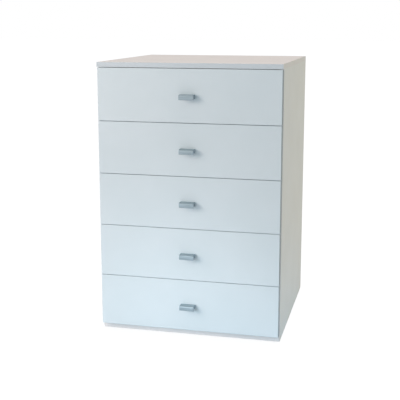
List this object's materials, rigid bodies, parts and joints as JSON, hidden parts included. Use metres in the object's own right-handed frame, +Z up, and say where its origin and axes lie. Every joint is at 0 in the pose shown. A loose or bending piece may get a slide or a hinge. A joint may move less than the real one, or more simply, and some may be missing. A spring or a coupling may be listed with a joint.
{
  "type": "drawer unit",
  "caption": "Free-standing laboratory drawer unit: melamine board cabinet with equal full-overlay drawers on steel roller runners, each with a small hooked metal pull.",
  "frame": {"origin": "on the floor, under the middle of the unit measured with its handles", "axes": "+Z up, the drawers open towards -Y, +X to the right of someone who faces them"},
  "size_m": [0.6, 0.624, 0.9],
  "materials": {
    "front_board": "pale blue-white melamine, fine satin grain",
    "carcass_board": "warm white melamine, satin, banded edges",
    "box_board": "white foil on board, satin",
    "hardboard": "white-faced hardboard, satin",
    "handle_metal": "satin anodised extrusion",
    "runner_steel": "white epoxy powder coat on sheet steel",
    "roller_plastic": "natural nylon",
    "glide_plastic": "dark moulded plastic",
    "buffer_rubber": "soft translucent pad"
  },
  "bodies": {
    "cabinet": {"top_panel": "carcass_board", "left_side_panel": "carcass_board", "right_side_panel": "carcass_board", "bottom_panel": "carcass_board", "back_panel": "hardboard", "floor_glides": "glide_plastic", "front_buffers": "buffer_rubber", "left_cabinet_runners": "runner_steel", "right_cabinet_runners": "runner_steel"},
    "drawer_1": {"drawer_1_front": "front_board", "drawer_1_handle": "handle_metal", "drawer_1_left_side": "box_board", "drawer_1_right_side": "box_board", "drawer_1_back": "box_board", "drawer_1_bottom": "hardboard", "drawer_1_left_runner": "runner_steel", "drawer_1_right_runner": "runner_steel"},
    "front_rollers_1": {"drawer_1_front_rollers": "roller_plastic"},
    "rear_rollers_1": {"drawer_1_rear_rollers": "roller_plastic"},
    "drawer_2": {"drawer_2_front": "front_board", "drawer_2_handle": "handle_metal", "drawer_2_left_side": "box_board", "drawer_2_right_side": "box_board", "drawer_2_back": "box_board", "drawer_2_bottom": "hardboard", "drawer_2_left_runner": "runner_steel", "drawer_2_right_runner": "runner_steel"},
    "front_rollers_2": {"drawer_2_front_rollers": "roller_plastic"},
    "rear_rollers_2": {"drawer_2_rear_rollers": "roller_plastic"},
    "drawer_3": {"drawer_3_front": "front_board", "drawer_3_handle": "handle_metal", "drawer_3_left_side": "box_board", "drawer_3_right_side": "box_board", "drawer_3_back": "box_board", "drawer_3_bottom": "hardboard", "drawer_3_left_runner": "runner_steel", "drawer_3_right_runner": "runner_steel"},
    "front_rollers_3": {"drawer_3_front_rollers": "roller_plastic"},
    "rear_rollers_3": {"drawer_3_rear_rollers": "roller_plastic"},
    "drawer_4": {"drawer_4_front": "front_board", "drawer_4_handle": "handle_metal", "drawer_4_left_side": "box_board", "drawer_4_right_side": "box_board", "drawer_4_back": "box_board", "drawer_4_bottom": "hardboard", "drawer_4_left_runner": "runner_steel", "drawer_4_right_runner": "runner_steel"},
    "front_rollers_4": {"drawer_4_front_rollers": "roller_plastic"},
    "rear_rollers_4": {"drawer_4_rear_rollers": "roller_plastic"},
    "drawer_5": {"drawer_5_front": "front_board", "drawer_5_handle": "handle_metal", "drawer_5_left_side": "box_board", "drawer_5_right_side": "box_board", "drawer_5_back": "box_board", "drawer_5_bottom": "hardboard", "drawer_5_left_runner": "runner_steel", "drawer_5_right_runner": "runner_steel"},
    "front_rollers_5": {"drawer_5_front_rollers": "roller_plastic"},
    "rear_rollers_5": {"drawer_5_rear_rollers": "roller_plastic"}
  },
  "joints": [
    {"name": "drawer_1_slide", "type": "slide", "parent": "cabinet", "child": "drawer_1", "axis": [0, -1, 0], "range_m": [0, 0.4]},
    {"name": "drawer_1_front_rollers_spin", "type": "hinge", "parent": "cabinet", "child": "front_rollers_1", "pos_m": [0, -0.254, 0.7479], "axis": [1, 0, 0], "continuous": true},
    {"name": "drawer_1_rear_rollers_spin", "type": "hinge", "parent": "drawer_1", "child": "rear_rollers_1", "pos_m": [0, 0.266, 0.7477], "axis": [1, 0, 0], "continuous": true},
    {"name": "drawer_2_slide", "type": "slide", "parent": "cabinet", "child": "drawer_2", "axis": [0, -1, 0], "range_m": [0, 0.4]},
    {"name": "drawer_2_front_rollers_spin", "type": "hinge", "parent": "cabinet", "child": "front_rollers_2", "pos_m": [0, -0.254, 0.5763], "axis": [1, 0, 0], "continuous": true},
    {"name": "drawer_2_rear_rollers_spin", "type": "hinge", "parent": "drawer_2", "child": "rear_rollers_2", "pos_m": [0, 0.266, 0.5761], "axis": [1, 0, 0], "continuous": true},
    {"name": "drawer_3_slide", "type": "slide", "parent": "cabinet", "child": "drawer_3", "axis": [0, -1, 0], "range_m": [0, 0.4]},
    {"name": "drawer_3_front_rollers_spin", "type": "hinge", "parent": "cabinet", "child": "front_rollers_3", "pos_m": [0, -0.254, 0.4047], "axis": [1, 0, 0], "continuous": true},
    {"name": "drawer_3_rear_rollers_spin", "type": "hinge", "parent": "drawer_3", "child": "rear_rollers_3", "pos_m": [0, 0.266, 0.4045], "axis": [1, 0, 0], "continuous": true},
    {"name": "drawer_4_slide", "type": "slide", "parent": "cabinet", "child": "drawer_4", "axis": [0, -1, 0], "range_m": [0, 0.4]},
    {"name": "drawer_4_front_rollers_spin", "type": "hinge", "parent": "cabinet", "child": "front_rollers_4", "pos_m": [0, -0.254, 0.2331], "axis": [1, 0, 0], "continuous": true},
    {"name": "drawer_4_rear_rollers_spin", "type": "hinge", "parent": "drawer_4", "child": "rear_rollers_4", "pos_m": [0, 0.266, 0.2329], "axis": [1, 0, 0], "continuous": true},
    {"name": "drawer_5_slide", "type": "slide", "parent": "cabinet", "child": "drawer_5", "axis": [0, -1, 0], "range_m": [0, 0.4]},
    {"name": "drawer_5_front_rollers_spin", "type": "hinge", "parent": "cabinet", "child": "front_rollers_5", "pos_m": [0, -0.254, 0.0615], "axis": [1, 0, 0], "continuous": true},
    {"name": "drawer_5_rear_rollers_spin", "type": "hinge", "parent": "drawer_5", "child": "rear_rollers_5", "pos_m": [0, 0.266, 0.0613], "axis": [1, 0, 0], "continuous": true}
  ],
  "couplings": [
    {"joint": "drawer_1_front_rollers_spin", "follows": "drawer_1_slide", "rad_per_m": 111.11},
    {"joint": "drawer_1_rear_rollers_spin", "follows": "drawer_1_slide", "rad_per_m": 111.11},
    {"joint": "drawer_2_front_rollers_spin", "follows": "drawer_2_slide", "rad_per_m": 111.11},
    {"joint": "drawer_2_rear_rollers_spin", "follows": "drawer_2_slide", "rad_per_m": 111.11},
    {"joint": "drawer_3_front_rollers_spin", "follows": "drawer_3_slide", "rad_per_m": 111.11},
    {"joint": "drawer_3_rear_rollers_spin", "follows": "drawer_3_slide", "rad_per_m": 111.11},
    {"joint": "drawer_4_front_rollers_spin", "follows": "drawer_4_slide", "rad_per_m": 111.11},
    {"joint": "drawer_4_rear_rollers_spin", "follows": "drawer_4_slide", "rad_per_m": 111.11},
    {"joint": "drawer_5_front_rollers_spin", "follows": "drawer_5_slide", "rad_per_m": 111.11},
    {"joint": "drawer_5_rear_rollers_spin", "follows": "drawer_5_slide", "rad_per_m": 111.11}
  ]
}
